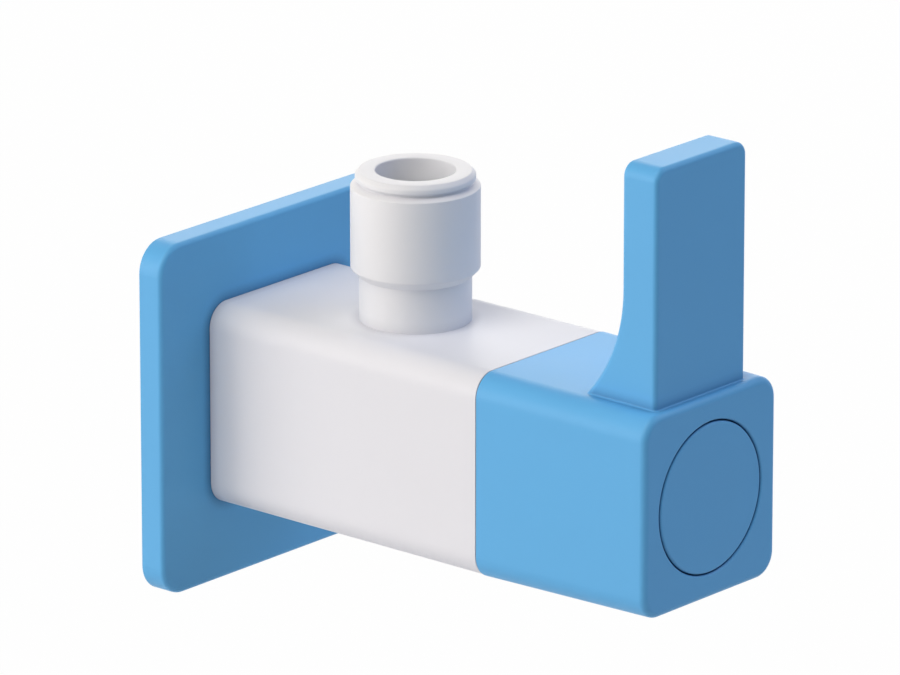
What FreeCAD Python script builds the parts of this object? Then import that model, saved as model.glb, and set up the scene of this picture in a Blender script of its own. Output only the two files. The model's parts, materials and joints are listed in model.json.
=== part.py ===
"""Angle cock: a square quarter-turn wall valve with a round outlet on top and a lever handle.

All lengths are millimetres. Row frame: the origin lies on the inlet axis at the wall plane, +Z is up,
the valve stands out of the wall along -Y, and +X is to the right for a person facing the wall.

The pieces are drawn in a bench frame, with the valve axis upright: x runs to the right, y runs up the
wall and z is the distance from the wall. The last step turns every piece into the row frame.
"""
import FreeCAD
import Part
import math
import os

V = FreeCAD.Vector

# Fits and clearances
RUNNING_FIT = 0.05
SLIDING_FIT = 0.10
LOOSE_FIT = 0.27
CUT_MARGIN = 1.0
HANDLE_GAP = 0.2
CAP_GAP = 0.2

# Wall flange, a thin moulded shell that slides on the inlet tail
FLANGE_WIDTH = 56.9
FLANGE_HEIGHT = 59.3
FLANGE_DROP = 0.55
FLANGE_THICKNESS = 4.6
FLANGE_CORNER_RADIUS = 5.0
FLANGE_EDGE_RADIUS = 0.8
FLANGE_WALL = 1.8
FLANGE_RIM = 2.0
FLANGE_HUB_WALL = 3.2
FLANGE_HUB_RECESS = 0.4
FLANGE_HUB_LIP = 0.6
FLANGE_RIBS = 8
FLANGE_RIB_WIDTH = 1.2
GRIP_RING_SECTION = 0.8

# Valve body, a square bar with rounded long edges
BODY_WIDTH = 33.8
BODY_HEIGHT = 34.1
BODY_LENGTH = 56.5
BODY_CORNER_RADIUS = 4.0
BODY_EDGE_RADIUS = 0.12

# Inlet tail, with the half-inch pipe thread drawn as its outer cylinder
PIPE_THREAD_RADIUS = 10.4775
INLET_THREAD_LENGTH = 14.0
INLET_THREAD_CHAMFER = 1.0
INLET_NECK_RELIEF = 0.28
INLET_SHANK_RADIUS = 8.8
INLET_SHANK_LENGTH = 10.8
INLET_BORE_RADIUS = 6.0
INLET_GROOVE_OFFSET = 4.4
INLET_RING_SECTION = 0.9
PASSAGE_RADIUS = 6.2

# Strainer cup in the mouth of the inlet tail
STRAINER_RIM_RADIUS = 7.2
STRAINER_RIM_THICKNESS = 1.1
STRAINER_WALL = 0.75
STRAINER_LENGTH = 12.0
STRAINER_SLOTS = 10
STRAINER_SLOT_WIDTH = 1.2
STRAINER_SLOT_LENGTH = 7.5

# Outlet nipple on top of the body
OUTLET_OFFSET = 29.4
OUTLET_TOP_HEIGHT = 41.9
OUTLET_NECK_RADIUS = 9.1
OUTLET_COLLAR_START = 24.4
OUTLET_COLLAR_CHAMFER = 1.39
OUTLET_SHOULDER_HEIGHT = 0.55
OUTLET_GROOVE_FLOOR = 0.33
OUTLET_GROOVE_DEPTH = 0.52
OUTLET_UNDERCUT_HEIGHT = 0.22
OUTLET_RIM_RADIUS = 9.72
OUTLET_RIM_WALL = 0.8
OUTLET_RIM_CHAMFER = 0.62
OUTLET_RIM_CHAMFER_HEIGHT = 0.7
OUTLET_EDGE_ROUNDING = 0.12
OUTLET_BORE_RADIUS = 6.47
OUTLET_BORE_ROUNDING = 0.3
OUTLET_SHANK_RADIUS = 8.6
OUTLET_SOCKET_FLOOR = 12.2
OUTLET_RING_SECTION = 0.8

# Ceramic disc cartridge
DISC_RADIUS = 7.4
DISC_THICKNESS = 3.0
GASKET_THICKNESS = 2.5
DISC_WINDOW_INNER = 2.6
DISC_WINDOW_OUTER = 6.0
DISC_WINDOW_SPAN = 80.0
DISC_LUG_REACH = 1.1
DISC_LUG_SPAN = 20.0
DRIVE_NOTCH_INNER = 5.6
DRIVE_NOTCH_SPAN = 24.0
DRIVE_NOTCH_DEPTH = 1.6
SKIRT_WALL = 1.3
SKIRT_END_GAP = 0.3
SKIRT_SEAT_DEPTH = 2.5
WINDOW_LENGTH = 5.0
WINDOW_SPAN = 90.0
CHAMBER_RADIUS = 11.0
CHAMBER_MARGIN = 5.0
CARTRIDGE_THREAD_RADIUS = 11.95
CARTRIDGE_THREAD_LEAD = 1.25
CARTRIDGE_GROOVE_WIDTH = 2.4
CARTRIDGE_RING_SECTION = 0.9
COLLAR_RADIUS = 13.0
COLLAR_THICKNESS = 3.0
COLLAR_RECESS_DEPTH = 3.5
HEX_ACROSS_FLATS = 19.0
HEX_HEIGHT = 5.0
HEX_CHAMFER = 0.8
HEX_CHAMFER_REACH = 1.6
NECK_RADIUS = 7.4
NECK_CHAMFER = 0.6

# Spindle and the small parts on it
SPINDLE_RADIUS = 4.5
FOOT_RADIUS = 7.2
FOOT_THICKNESS = 2.5
FOOT_SPAN = 84.0
FACE_GAP = 0.05
STOP_COLLAR_RADIUS = 6.1
STOP_COLLAR_THICKNESS = 1.6
STOP_COLLAR_LEAD = 0.3
STOP_TAB_RADIUS = 7.2
STOP_TAB_SPAN = 60.0
STOP_SLACK = 1.0
STOP_RIB_GAP = 0.2
HANDLE_TRAVEL = 90.0
THRUST_WASHER_THICKNESS = 0.8
GLAND_DEPTH = 3.2
GLAND_SPACING = 3.4
GLAND_WIDTH = 1.7
SPINDLE_RING_SECTION = 0.62
CLIP_THICKNESS = 0.9
CLIP_GROOVE_RADIUS = 3.7
CLIP_RADIUS = 6.0
CLIP_OPENING = 60.0
CLIP_SPACE = 1.8
SPLINE_TEETH = 20
SPLINE_TIP_RADIUS = 4.4
SPLINE_ROOT_RADIUS = 3.9
SPLINE_TIP_SHARE = 0.32
SPLINE_ROOT_SHARE = 0.6
SPLINE_LENGTH_BEHIND_HUB = 0.4
SPINDLE_END_GAP = 0.4

# Handle, a hollow square block with a flat lever on top
HANDLE_LENGTH = 34.0
HANDLE_BACK_WIDTH = 34.1
HANDLE_BACK_HEIGHT = 34.2
HANDLE_FRONT_WIDTH = 32.6
HANDLE_FRONT_HEIGHT = 33.5
HANDLE_CORNER_RADIUS = 4.0
HANDLE_FRONT_EDGE_RADIUS = 1.1
HANDLE_BACK_EDGE_RADIUS = 0.12
HANDLE_WALL = 2.4
HANDLE_INNER_CORNER_RADIUS = 1.6
HANDLE_FRONT_WALL = 2.9
CUP_WALL = 2.2
CUP_FLOOR = 2.4
HUB_WALL = 2.0
HUB_WEB = 2.0
HANDLE_RIB_WIDTH = 1.6
HANDLE_RIB_SETBACK = 4.0
LEVER_WIDTH = 22.2
LEVER_THICKNESS = 7.0
LEVER_TOP_HEIGHT = 56.05
LEVER_SETBACK = 1.6
LEVER_SIDE_SHIFT = -0.8
LEVER_CORNER_RADIUS = 2.3
LEVER_EDGE_RADIUS = 0.8
LEVER_FLARE_RADIUS = 27.0
LEVER_FLARE_HEIGHT = 18.5
LEVER_ROOT = 1.2
LEVER_FOOT_ROUNDING = 0.3
LEVER_CORE_WALL = 2.0
LEVER_CORE_SIDE_WALL = 4.0
LEVER_CORE_ROOT = 3.6

# Spline insert, screw and index cap in the handle
INSERT_ACROSS_FLATS = 11.4
INSERT_LENGTH = 10.0
SCREW_RADIUS = 1.95
SCREW_LENGTH = 12.0
SCREW_HEAD_RADIUS = 3.9
SCREW_HEAD_HEIGHT = 2.6
SCREW_HEAD_ROUNDING = 0.8
SCREW_SLOT_LENGTH = 4.7
SCREW_SLOT_WIDTH = 0.9
SCREW_SLOT_DEPTH = 1.2
SCREW_HOLE_DEPTH = 10.5
SCREW_POCKET_RADIUS = 5.0
SCREW_POCKET_DEPTH = 2.6
WASHER_RADIUS = 4.6
WASHER_THICKNESS = 0.8
CAP_RADIUS = 12.4
CAP_THICKNESS = 1.8
CAP_EDGE_RADIUS = 0.4
CAP_RECESS_ROUNDING = 0.4
SNAP_POCKET_RADIUS = 10.6
SNAP_POCKET_DEPTH = 4.2
SNAP_LEGS = 4
SNAP_LEG_SPAN = 40.0
SNAP_LEG_WALL = 1.1
SNAP_LEG_LENGTH = 3.8
SNAP_BARB = 0.55
SNAP_BARB_HEIGHT = 1.5

# Places along the valve, measured from the wall
BODY_BACK = FLANGE_THICKNESS
BODY_FRONT = BODY_BACK + BODY_LENGTH
BODY_TOP = BODY_HEIGHT / 2
OUTLET_ALONG = BODY_BACK + OUTLET_OFFSET
INLET_SOCKET_END = BODY_BACK + INLET_SHANK_LENGTH + SLIDING_FIT
FOOT_BACK = OUTLET_ALONG - WINDOW_LENGTH / 2
MOVING_DISC_FRONT = FOOT_BACK - FACE_GAP
MOVING_DISC_BACK = MOVING_DISC_FRONT - DISC_THICKNESS
FIXED_DISC_FRONT = MOVING_DISC_BACK - FACE_GAP
FIXED_DISC_BACK = FIXED_DISC_FRONT - DISC_THICKNESS
SEAT = FIXED_DISC_BACK - GASKET_THICKNESS
SKIRT_BACK = SEAT + SKIRT_END_GAP
WINDOW_END = FOOT_BACK + WINDOW_LENGTH
CHAMBER_END = WINDOW_END + CHAMBER_MARGIN
STOP_COLLAR_BACK = WINDOW_END + STOP_COLLAR_LEAD
STOP_COLLAR_FRONT = STOP_COLLAR_BACK + STOP_COLLAR_THICKNESS
WASHER_SEAT = STOP_COLLAR_FRONT + THRUST_WASHER_THICKNESS + FACE_GAP
COLLAR_SEAT = BODY_FRONT - COLLAR_RECESS_DEPTH
COLLAR_FRONT = COLLAR_SEAT + COLLAR_THICKNESS
HEX_FRONT = COLLAR_FRONT + HEX_HEIGHT
HANDLE_BACK = BODY_FRONT + HANDLE_GAP
HANDLE_FRONT = HANDLE_BACK + HANDLE_LENGTH
CAP_SEAT = HANDLE_FRONT - CAP_THICKNESS
SNAP_POCKET_FLOOR = CAP_SEAT - SNAP_POCKET_DEPTH
SCREW_SEAT = SNAP_POCKET_FLOOR - SCREW_POCKET_DEPTH
WEB_BACK = SCREW_SEAT - HUB_WEB
HUB_BACK = WEB_BACK - INSERT_LENGTH
NECK_END = HUB_BACK - CLIP_SPACE
SPINDLE_END = WEB_BACK - SPINDLE_END_GAP
SPLINE_START = HUB_BACK - SPLINE_LENGTH_BEHIND_HUB

# Radii that follow from the parts they fit
DISC_BORE_RADIUS = DISC_RADIUS + SLIDING_FIT
SKIRT_RADIUS = DISC_BORE_RADIUS + SKIRT_WALL
SPINDLE_BORE_RADIUS = SPINDLE_RADIUS + RUNNING_FIT
CARTRIDGE_BORE_RADIUS = CARTRIDGE_THREAD_RADIUS + SLIDING_FIT
FLANGE_HOLE_RADIUS = PIPE_THREAD_RADIUS + LOOSE_FIT


def disc(radius, start, end):
    """A round solid on the valve axis from one distance to another."""
    return Part.makeCylinder(radius, end - start, V(0, 0, start))


def tube(outer, inner, start, end):
    """A round tube on the valve axis."""
    return disc(outer, start, end).cut(disc(inner, start, end))


def sector(radius, start, end, middle_deg, span_deg):
    """A pie slice of a round solid, with its middle at the given angle from the right."""
    piece = Part.makeCylinder(radius, end - start, V(0, 0, start), V(0, 0, 1), span_deg)
    piece.rotate(V(0, 0, 0), V(0, 0, 1), middle_deg - span_deg / 2)
    return piece


def sector_ring(outer, inner, start, end, middle_deg, span_deg):
    """A slice of a tube."""
    return sector(outer, start, end, middle_deg, span_deg).cut(disc(inner, start, end))


def turned(profile):
    """A solid turned about the valve axis from (radius, distance) corners."""
    corners = [V(radius, 0, along) for radius, along in profile]
    face = Part.Face(Part.makePolygon(corners + corners[:1]))
    return face.revolve(V(0, 0, 0), V(0, 0, 1), 360)


def o_ring(ring_radius, section, along):
    """A rubber ring whose section's centre runs at ring_radius."""
    return Part.makeTorus(ring_radius, section, V(0, 0, along), V(0, 0, 1))


def hexagon(across_flats, start, end):
    """A six-sided bar on the valve axis, with two flats facing up and down."""
    corner = across_flats / 2 / math.cos(math.radians(30))
    angles = [math.radians(60 * turn) for turn in range(6)]
    corners = [V(corner * math.cos(angle), corner * math.sin(angle), start) for angle in angles]
    face = Part.Face(Part.makePolygon(corners + corners[:1]))
    return face.extrude(V(0, 0, end - start))


def rounded_rectangle(width, height, radius, along, drop=0.0):
    """The outline of a rectangle with round corners, square to the valve axis."""
    quarters = []
    for turn, (across, up) in enumerate([(1, 1), (-1, 1), (-1, -1), (1, -1)]):
        centre = V(across * (width / 2 - radius), up * (height / 2 - radius) - drop, along)
        angles = [math.radians(90 * turn + step) for step in (0, 45, 90)]
        quarters.append([centre + V(radius * math.cos(a), radius * math.sin(a), 0) for a in angles])
    edges = []
    for index, (start, middle, end) in enumerate(quarters):
        following = quarters[(index + 1) % 4][0]
        edges.append(Part.Arc(start, middle, end).toShape())
        edges.append(Part.LineSegment(end, following).toShape())
    return Part.Wire(edges)


def rounded_bar(width, height, radius, start, end, drop=0.0):
    """A straight bar with a rounded rectangle as its section."""
    outline = rounded_rectangle(width, height, radius, start, drop)
    return Part.Face(outline).extrude(V(0, 0, end - start))


def flat_edges(shape, along):
    """The edges that lie wholly at one distance from the wall."""
    return [edge for edge in shape.Edges
            if abs(edge.BoundBox.ZMin - along) < 1e-4 and abs(edge.BoundBox.ZMax - along) < 1e-4]


def circles(shape, radius, along):
    """The full circles of one radius at one distance from the wall."""
    return [edge for edge in flat_edges(shape, along)
            if abs(edge.BoundBox.XMax - radius) < 1e-3 and edge.isClosed()]


def upright(piece):
    """A piece turned about the valve axis, stood on the outlet's own axis instead."""
    piece.rotate(V(0, 0, 0), V(1, 0, 0), -90)
    piece.translate(V(0, 0, OUTLET_ALONG))
    return piece


def make_wall_flange():
    """Square cover plate: thin front, rim and hub, ribs between them, and an open back."""
    plate = rounded_bar(FLANGE_WIDTH, FLANGE_HEIGHT, FLANGE_CORNER_RADIUS, 0, FLANGE_THICKNESS, FLANGE_DROP)
    plate = plate.makeFillet(FLANGE_EDGE_RADIUS, flat_edges(plate, FLANGE_THICKNESS))
    floor = FLANGE_THICKNESS - FLANGE_WALL
    hollow = rounded_bar(FLANGE_WIDTH - 2 * FLANGE_RIM, FLANGE_HEIGHT - 2 * FLANGE_RIM,
                         FLANGE_CORNER_RADIUS - FLANGE_RIM, 0, floor, FLANGE_DROP)
    hub_radius = FLANGE_HOLE_RADIUS + FLANGE_HUB_WALL
    hollow = hollow.cut(disc(hub_radius, FLANGE_HUB_RECESS, floor))
    reach = max(FLANGE_WIDTH, FLANGE_HEIGHT)
    for turn in range(FLANGE_RIBS):
        rib = Part.makeBox(reach, FLANGE_RIB_WIDTH, floor - FLANGE_HUB_LIP,
                           V(0, -FLANGE_RIB_WIDTH / 2, FLANGE_HUB_LIP))
        rib.rotate(V(0, 0, 0), V(0, 0, 1), 360 / FLANGE_RIBS * turn)
        hollow = hollow.cut(rib)
    groove_radius = grip_ring_radius() + GRIP_RING_SECTION + RUNNING_FIT
    ring_groove = disc(groove_radius, FLANGE_HUB_RECESS + FLANGE_HUB_LIP, floor)
    return plate.cut(hollow).cut(disc(FLANGE_HOLE_RADIUS, 0, FLANGE_THICKNESS)).cut(ring_groove)


def grip_ring_radius():
    """Centre of the grip ring's section: it just clears the pipe thread."""
    return PIPE_THREAD_RADIUS + RUNNING_FIT + GRIP_RING_SECTION


def make_flange_grip_ring():
    """Soft ring in the flange's hub that keeps the flange where it is pushed."""
    floor = FLANGE_THICKNESS - FLANGE_WALL
    middle = (FLANGE_HUB_RECESS + FLANGE_HUB_LIP + floor) / 2
    return o_ring(grip_ring_radius(), GRIP_RING_SECTION, middle)


def make_valve_body():
    """White square bar, bored through for the inlet tail, the cartridge and the outlet."""
    body = rounded_bar(BODY_WIDTH, BODY_HEIGHT, BODY_CORNER_RADIUS, BODY_BACK, BODY_FRONT)
    body = body.makeFillet(BODY_EDGE_RADIUS, flat_edges(body, BODY_BACK) + flat_edges(body, BODY_FRONT))
    body = body.cut(disc(INLET_SHANK_RADIUS + SLIDING_FIT, BODY_BACK, INLET_SOCKET_END))
    body = body.cut(disc(PASSAGE_RADIUS, BODY_BACK, SEAT + SKIRT_SEAT_DEPTH))
    body = body.cut(disc(SKIRT_RADIUS + SLIDING_FIT, SEAT, CHAMBER_END))
    body = body.cut(disc(CHAMBER_RADIUS, SEAT + SKIRT_SEAT_DEPTH, CHAMBER_END))
    body = body.cut(disc(CARTRIDGE_BORE_RADIUS, CHAMBER_END, BODY_FRONT))
    body = body.cut(disc(COLLAR_RADIUS + LOOSE_FIT, COLLAR_SEAT, BODY_FRONT))
    body = body.cut(upright(disc(OUTLET_SHANK_RADIUS + SLIDING_FIT, OUTLET_SOCKET_FLOOR, BODY_TOP)))
    return body.cut(upright(disc(OUTLET_BORE_RADIUS, SKIRT_RADIUS, BODY_TOP)))


def make_inlet_nipple():
    """Inlet tail: pipe thread, plain neck under the flange, and a sealed shank in the body."""
    neck_radius = PIPE_THREAD_RADIUS - INLET_NECK_RELIEF
    thread_start = -INLET_THREAD_LENGTH
    ring_start = BODY_BACK + INLET_GROOVE_OFFSET
    ring_end = ring_start + 2 * INLET_RING_SECTION + 2 * LOOSE_FIT
    shank_end = BODY_BACK + INLET_SHANK_LENGTH
    nipple = turned([
        (INLET_BORE_RADIUS, thread_start),
        (PIPE_THREAD_RADIUS - INLET_THREAD_CHAMFER, thread_start),
        (PIPE_THREAD_RADIUS, thread_start + INLET_THREAD_CHAMFER),
        (PIPE_THREAD_RADIUS, 0),
        (neck_radius, 0),
        (neck_radius, BODY_BACK),
        (INLET_SHANK_RADIUS, BODY_BACK),
        (INLET_SHANK_RADIUS, ring_start),
        (inlet_groove_radius(), ring_start),
        (inlet_groove_radius(), ring_end),
        (INLET_SHANK_RADIUS, ring_end),
        (INLET_SHANK_RADIUS, shank_end),
        (INLET_BORE_RADIUS, shank_end),
    ])
    counterbore_end = thread_start + STRAINER_RIM_THICKNESS + SLIDING_FIT
    return nipple.cut(disc(STRAINER_RIM_RADIUS + SLIDING_FIT, thread_start, counterbore_end))


def inlet_groove_radius():
    """Floor of the shank's ring groove, one ring section inside the socket wall."""
    return INLET_SHANK_RADIUS + SLIDING_FIT - 2 * INLET_RING_SECTION - 2 * RUNNING_FIT


def make_inlet_o_ring():
    """Seal between the inlet tail and its socket in the body."""
    middle = BODY_BACK + INLET_GROOVE_OFFSET + INLET_RING_SECTION + LOOSE_FIT
    return o_ring(inlet_groove_radius() + RUNNING_FIT + INLET_RING_SECTION, INLET_RING_SECTION, middle)


def make_inlet_strainer():
    """Slotted cup with a rim, pushed into the mouth of the inlet tail."""
    back = -INLET_THREAD_LENGTH + SLIDING_FIT / 2
    rim_end = back + STRAINER_RIM_THICKNESS
    end = back + STRAINER_LENGTH
    outer = INLET_BORE_RADIUS - SLIDING_FIT
    inner = outer - STRAINER_WALL
    cup = disc(STRAINER_RIM_RADIUS, back, rim_end).fuse(disc(outer, back, end))
    cup = cup.cut(disc(inner, back, end - STRAINER_WALL))
    cup = cup.makeFillet(STRAINER_WALL / 2, circles(cup, outer, end))
    slot_end = end - 2 * STRAINER_WALL
    slots = []
    for turn in range(STRAINER_SLOTS):
        slot = Part.makeBox(2 * outer, STRAINER_SLOT_WIDTH, STRAINER_SLOT_LENGTH,
                            V(0, -STRAINER_SLOT_WIDTH / 2, slot_end - STRAINER_SLOT_LENGTH))
        slot.rotate(V(0, 0, 0), V(0, 0, 1), 360 / STRAINER_SLOTS * turn)
        slots.append(slot.cut(disc(inner / 2, back, end)))
    return cup.cut(slots)


def make_outlet_nipple():
    """Round outlet: spigot in the body, neck, threaded-size collar, and a chamfered rim over a groove."""
    chamfer_end = OUTLET_TOP_HEIGHT - OUTLET_RIM_CHAMFER_HEIGHT
    rim_end = chamfer_end - OUTLET_RIM_WALL
    groove_top = rim_end - OUTLET_UNDERCUT_HEIGHT
    groove_end = groove_top - OUTLET_GROOVE_FLOOR
    collar_top = groove_end - OUTLET_SHOULDER_HEIGHT
    groove_radius = OUTLET_RIM_RADIUS - OUTLET_GROOVE_DEPTH
    flat_radius = OUTLET_RIM_RADIUS - OUTLET_RIM_CHAMFER
    shank_end = OUTLET_SOCKET_FLOOR + 2 * OUTLET_RING_SECTION + 2 * RUNNING_FIT
    nipple = turned([
        (OUTLET_BORE_RADIUS, shank_end),
        (OUTLET_SHANK_RADIUS, shank_end),
        (OUTLET_SHANK_RADIUS, BODY_TOP),
        (OUTLET_NECK_RADIUS, BODY_TOP),
        (OUTLET_NECK_RADIUS, OUTLET_COLLAR_START),
        (PIPE_THREAD_RADIUS, OUTLET_COLLAR_START + OUTLET_COLLAR_CHAMFER),
        (PIPE_THREAD_RADIUS, collar_top),
        (groove_radius, groove_end),
        (groove_radius, groove_top),
        (OUTLET_RIM_RADIUS, rim_end),
        (OUTLET_RIM_RADIUS, chamfer_end),
        (flat_radius, OUTLET_TOP_HEIGHT),
        (OUTLET_BORE_RADIUS, OUTLET_TOP_HEIGHT),
    ])
    soft_edges = [
        *circles(nipple, PIPE_THREAD_RADIUS, collar_top),
        *circles(nipple, OUTLET_RIM_RADIUS, rim_end),
        *circles(nipple, OUTLET_RIM_RADIUS, chamfer_end),
        *circles(nipple, flat_radius, OUTLET_TOP_HEIGHT),
    ]
    nipple = nipple.makeFillet(OUTLET_EDGE_ROUNDING, soft_edges)
    nipple = nipple.makeFillet(OUTLET_BORE_ROUNDING, circles(nipple, OUTLET_BORE_RADIUS, OUTLET_TOP_HEIGHT))
    return upright(nipple)


def make_outlet_o_ring():
    """Seal under the end of the outlet nipple's spigot."""
    ring_radius = OUTLET_SHANK_RADIUS - OUTLET_RING_SECTION
    return upright(o_ring(ring_radius, OUTLET_RING_SECTION,
                          OUTLET_SOCKET_FLOOR + RUNNING_FIT + OUTLET_RING_SECTION))


def butterfly_plate(radius, start, end):
    """Round plate with two facing windows, left and right, for the water to pass."""
    plate = disc(radius, start, end)
    windows = [sector_ring(DISC_WINDOW_OUTER, DISC_WINDOW_INNER, start, end, middle, DISC_WINDOW_SPAN)
               for middle in (0, 180)]
    return plate.cut(windows)


def make_seat_gasket():
    """Rubber seal between the valve seat and the fixed disc."""
    return butterfly_plate(DISC_RADIUS - SLIDING_FIT, SEAT, FIXED_DISC_BACK)


def make_fixed_disc():
    """Ceramic disc held still by two lugs in the cartridge's slots."""
    plate = butterfly_plate(DISC_RADIUS, FIXED_DISC_BACK, FIXED_DISC_FRONT)
    lugs = [sector_ring(DISC_RADIUS + DISC_LUG_REACH, DISC_WINDOW_OUTER, FIXED_DISC_BACK, FIXED_DISC_FRONT,
                        middle, DISC_LUG_SPAN) for middle in (90, 270)]
    return plate.fuse(lugs).removeSplitter()


def make_moving_disc():
    """Ceramic disc turned by the spindle's drive lugs, which sit in its two notches."""
    plate = butterfly_plate(DISC_RADIUS, MOVING_DISC_BACK, MOVING_DISC_FRONT)
    notch_start = MOVING_DISC_FRONT - DRIVE_NOTCH_DEPTH
    notches = [sector_ring(DISC_RADIUS + CUT_MARGIN, DRIVE_NOTCH_INNER, notch_start, MOVING_DISC_FRONT,
                           middle, DRIVE_NOTCH_SPAN) for middle in (90, 270)]
    return plate.cut(notches)


def cartridge_groove_radius():
    """Floor of the cartridge's ring groove, one ring section inside the body's bore."""
    return CARTRIDGE_BORE_RADIUS - 2 * CARTRIDGE_RING_SECTION - 2 * RUNNING_FIT


def stop_rib():
    """Inner rib of the cartridge that stops the spindle's tab at both ends of its travel."""
    span = 360 - STOP_TAB_SPAN - HANDLE_TRAVEL - 2 * STOP_SLACK
    inner = STOP_COLLAR_RADIUS + STOP_RIB_GAP
    return sector_ring(SKIRT_RADIUS, inner, WINDOW_END, WASHER_SEAT, 180, span)


def make_cartridge_housing():
    """Cartridge housing: windowed skirt, threaded barrel, collar, six-sided head and gland neck."""
    thread_start = CHAMBER_END + CARTRIDGE_THREAD_LEAD
    groove_start = COLLAR_SEAT - CARTRIDGE_GROOVE_WIDTH
    barrel = turned([
        (0, SKIRT_BACK),
        (SKIRT_RADIUS, SKIRT_BACK),
        (SKIRT_RADIUS, thread_start),
        (CARTRIDGE_THREAD_RADIUS, thread_start),
        (CARTRIDGE_THREAD_RADIUS, groove_start),
        (cartridge_groove_radius(), groove_start),
        (cartridge_groove_radius(), COLLAR_SEAT),
        (COLLAR_RADIUS, COLLAR_SEAT),
        (COLLAR_RADIUS, COLLAR_FRONT),
        (NECK_RADIUS, COLLAR_FRONT),
        (NECK_RADIUS, NECK_END - NECK_CHAMFER),
        (NECK_RADIUS - NECK_CHAMFER, NECK_END),
        (0, NECK_END),
    ])
    corner = HEX_ACROSS_FLATS / 2 / math.cos(math.radians(30))
    head_round = turned([
        (0, COLLAR_FRONT),
        (corner, COLLAR_FRONT),
        (corner, HEX_FRONT - HEX_CHAMFER),
        (corner - HEX_CHAMFER_REACH, HEX_FRONT),
        (0, HEX_FRONT),
    ])
    head = hexagon(HEX_ACROSS_FLATS, COLLAR_FRONT, HEX_FRONT).common(head_round)
    inside = disc(DISC_BORE_RADIUS, SKIRT_BACK, WASHER_SEAT).cut(stop_rib())
    housing = barrel.fuse(head).cut(inside).cut(disc(SPINDLE_BORE_RADIUS, SKIRT_BACK, NECK_END))
    cut_radius = SKIRT_RADIUS + CUT_MARGIN
    windows = [sector_ring(cut_radius, NECK_RADIUS, FOOT_BACK, WINDOW_END, middle, WINDOW_SPAN)
               for middle in (0, 180)]
    slots = [sector_ring(cut_radius, NECK_RADIUS, SKIRT_BACK, FIXED_DISC_FRONT, middle,
                         DISC_LUG_SPAN + 2 * STOP_SLACK) for middle in (90, 270)]
    return housing.cut(windows + slots).removeSplitter()


def make_cartridge_o_ring():
    """Seal under the cartridge's collar."""
    ring_radius = cartridge_groove_radius() + RUNNING_FIT + CARTRIDGE_RING_SECTION
    return o_ring(ring_radius, CARTRIDGE_RING_SECTION, COLLAR_SEAT - CARTRIDGE_GROOVE_WIDTH / 2)


def spline_bar(tip_radius, root_radius, start, end):
    """A bar with straight teeth all round."""
    pitch = 2 * math.pi / SPLINE_TEETH
    half_tip, half_root = SPLINE_TIP_SHARE / 2, SPLINE_ROOT_SHARE / 2
    tooth_shape = [(root_radius, -half_root), (tip_radius, -half_tip),
                   (tip_radius, half_tip), (root_radius, half_root)]
    corners = []
    for tooth in range(SPLINE_TEETH):
        for radius, share in tooth_shape:
            angle = pitch * (tooth + share)
            corners.append(V(radius * math.cos(angle), radius * math.sin(angle), start))
    face = Part.Face(Part.makePolygon(corners + corners[:1]))
    return face.extrude(V(0, 0, end - start))


def gland_middles():
    """Distances of the two ring grooves on the spindle."""
    return [NECK_END - GLAND_DEPTH, NECK_END - GLAND_DEPTH - GLAND_SPACING]


def gland_floor_radius():
    """Floor of the spindle's ring grooves, one ring section inside the neck's bore."""
    return SPINDLE_BORE_RADIUS - 2 * SPINDLE_RING_SECTION - 2 * RUNNING_FIT


def make_spindle():
    """Spindle: two-eared foot, stop collar with its tab, grooved shaft and splined end."""
    shaft = disc(SPINDLE_RADIUS, FOOT_BACK, SPLINE_START)
    ears = [sector(FOOT_RADIUS, FOOT_BACK, FOOT_BACK + FOOT_THICKNESS, middle, FOOT_SPAN)
            for middle in (90, 270)]
    lug_inner = DRIVE_NOTCH_INNER + SLIDING_FIT
    lugs = [sector_ring(FOOT_RADIUS, lug_inner, FOOT_BACK - DRIVE_NOTCH_DEPTH + 2 * FACE_GAP,
                        FOOT_BACK + FOOT_THICKNESS, middle, DRIVE_NOTCH_SPAN - 2 * STOP_SLACK)
            for middle in (90, 270)]
    collar = disc(STOP_COLLAR_RADIUS, STOP_COLLAR_BACK, STOP_COLLAR_FRONT)
    tab = sector(STOP_TAB_RADIUS, STOP_COLLAR_BACK, STOP_COLLAR_FRONT, HANDLE_TRAVEL / 2, STOP_TAB_SPAN)
    spline = spline_bar(SPLINE_TIP_RADIUS, SPLINE_ROOT_RADIUS, SPLINE_START, SPINDLE_END)
    spindle = shaft.fuse(ears + lugs + [collar, tab, spline])
    for middle in gland_middles():
        spindle = spindle.cut(tube(SPINDLE_RADIUS + CUT_MARGIN, gland_floor_radius(),
                                   middle - GLAND_WIDTH / 2, middle + GLAND_WIDTH / 2))
    clip_groove_end = NECK_END + CLIP_THICKNESS + 2 * FACE_GAP
    clip_groove = tube(SPINDLE_RADIUS + CUT_MARGIN, CLIP_GROOVE_RADIUS, NECK_END, clip_groove_end)
    screw_hole = disc(SCREW_RADIUS + RUNNING_FIT, SPINDLE_END - SCREW_HOLE_DEPTH, SPINDLE_END)
    return spindle.cut([clip_groove, screw_hole]).removeSplitter()


def make_spindle_o_rings():
    """Two seals on the spindle, in the neck of the cartridge."""
    ring_radius = gland_floor_radius() + RUNNING_FIT + SPINDLE_RING_SECTION
    rings = [o_ring(ring_radius, SPINDLE_RING_SECTION, middle) for middle in gland_middles()]
    return Part.makeCompound(rings)


def make_thrust_washer():
    """Slippery washer that takes the spindle's push against the cartridge."""
    return tube(STOP_COLLAR_RADIUS, SPINDLE_BORE_RADIUS, STOP_COLLAR_FRONT,
                STOP_COLLAR_FRONT + THRUST_WASHER_THICKNESS)


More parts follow.
